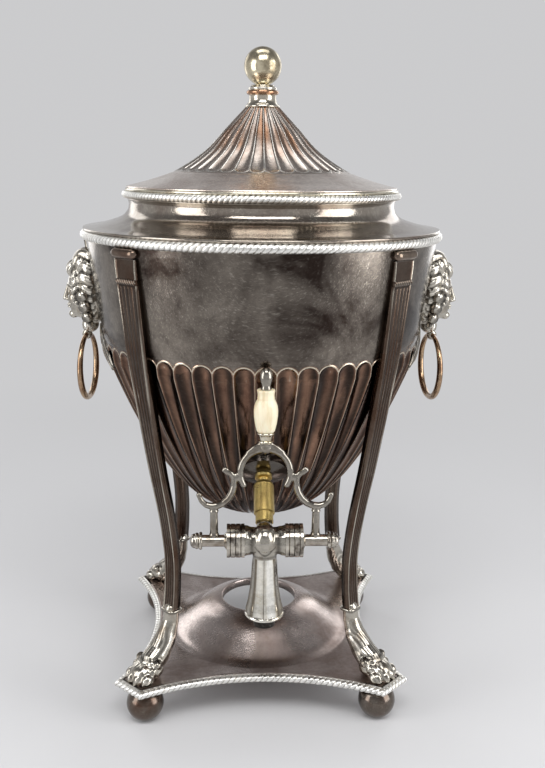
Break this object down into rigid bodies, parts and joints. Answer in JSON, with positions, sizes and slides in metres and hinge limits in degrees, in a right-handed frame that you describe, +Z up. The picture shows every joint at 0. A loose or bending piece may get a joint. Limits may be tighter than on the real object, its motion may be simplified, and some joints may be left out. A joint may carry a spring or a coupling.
{
  "type": "coffee urn",
  "caption": "Regency-style plated coffee urn: fluted bowl on reeded paw-footed legs and a square plinth, lift-off lid, masks with drop rings and a tap with a lyre key.",
  "frame": {"origin": "centre of the space that the urn takes, on the table under its ball feet", "axes": "+Z up along the bowl's axis; -Y is the front, with the tap; +X is the right as seen from the front"},
  "size_m": [0.2618, 0.2345, 0.4174],
  "materials": {
    "silver_plate": "worn silver plate, polished",
    "worn_plate": "silver plate rubbed through to copper",
    "copper_worn": "copper showing through plate",
    "bare_brass": "dull",
    "dark_metal": "tarnished",
    "bone": "polished bone",
    "leather": "plain"
  },
  "bodies": {
    "urn": {"ball_foot_back_left": "silver_plate", "ball_foot_back_right": "silver_plate", "ball_foot_front_left": "silver_plate", "ball_foot_front_right": "silver_plate", "base_border": "silver_plate", "base_plate": "worn_plate", "collar": "worn_plate", "foot_studs": "bare_brass", "gland_nut_left": "silver_plate", "gland_nut_right": "silver_plate", "leaf_sprays_left": "silver_plate", "leaf_sprays_right": "silver_plate", "leg_back_left": "worn_plate", "leg_back_right": "worn_plate", "leg_cap_back_left": "silver_plate", "leg_cap_back_right": "silver_plate", "leg_cap_front_left": "silver_plate", "leg_cap_front_right": "silver_plate", "leg_front_left": "worn_plate", "leg_front_right": "worn_plate", "mouth_border": "silver_plate", "paw_back_left": "silver_plate", "paw_back_right": "silver_plate", "paw_front_left": "silver_plate", "paw_front_right": "silver_plate", "ring_lug_left": "silver_plate", "ring_lug_right": "silver_plate", "shoulder_border": "silver_plate", "shoulder_sheet": "worn_plate", "side_mask_left": "silver_plate", "side_mask_right": "silver_plate", "spout_nozzle": "dark_metal", "tap_body": "silver_plate", "tap_boss": "silver_plate", "tap_nut": "bare_brass", "tap_pipe": "bare_brass", "tap_spout": "silver_plate", "tap_washer": "leather", "urn_body": "worn_plate"},
    "lid": {"lid_shell": "worn_plate", "lid_edge": "silver_plate", "lid_bezel": "worn_plate", "finial_neck": "silver_plate", "finial_ball": "silver_plate", "finial_stud": "bare_brass", "finial_nut": "bare_brass"},
    "tap_key": {"tap_plug": "bare_brass", "rod_cap_left": "silver_plate", "rod_cap_right": "silver_plate", "key_yoke": "silver_plate", "key_tang": "bare_brass", "key_ferrule": "silver_plate", "key_grip": "bone", "key_button": "silver_plate"},
    "ring_left": {"drop_ring_left": "copper_worn"},
    "ring_right": {"drop_ring_right": "copper_worn"}
  },
  "joints": [
    {"name": "lid_lift", "type": "slide", "parent": "urn", "child": "lid", "axis": [0, 0, 1], "range_m": [0, 0.12]},
    {"name": "tap_turn", "type": "hinge", "parent": "urn", "child": "tap_key", "pos_m": [0, -0.1078, 0.13559], "axis": [1, 0, 0], "range_deg": [0, 90]},
    {"name": "ring_right_swing", "type": "hinge", "parent": "urn", "child": "ring_right", "pos_m": [0.11431, 0, 0.2365], "axis": [0.1045, -0.9945, 0], "range_deg": [-22, 90]},
    {"name": "ring_left_swing", "type": "hinge", "parent": "urn", "child": "ring_left", "pos_m": [-0.11431, 0, 0.2365], "axis": [0.1045, 0.9945, 0], "range_deg": [-22, 90]}
  ]
}
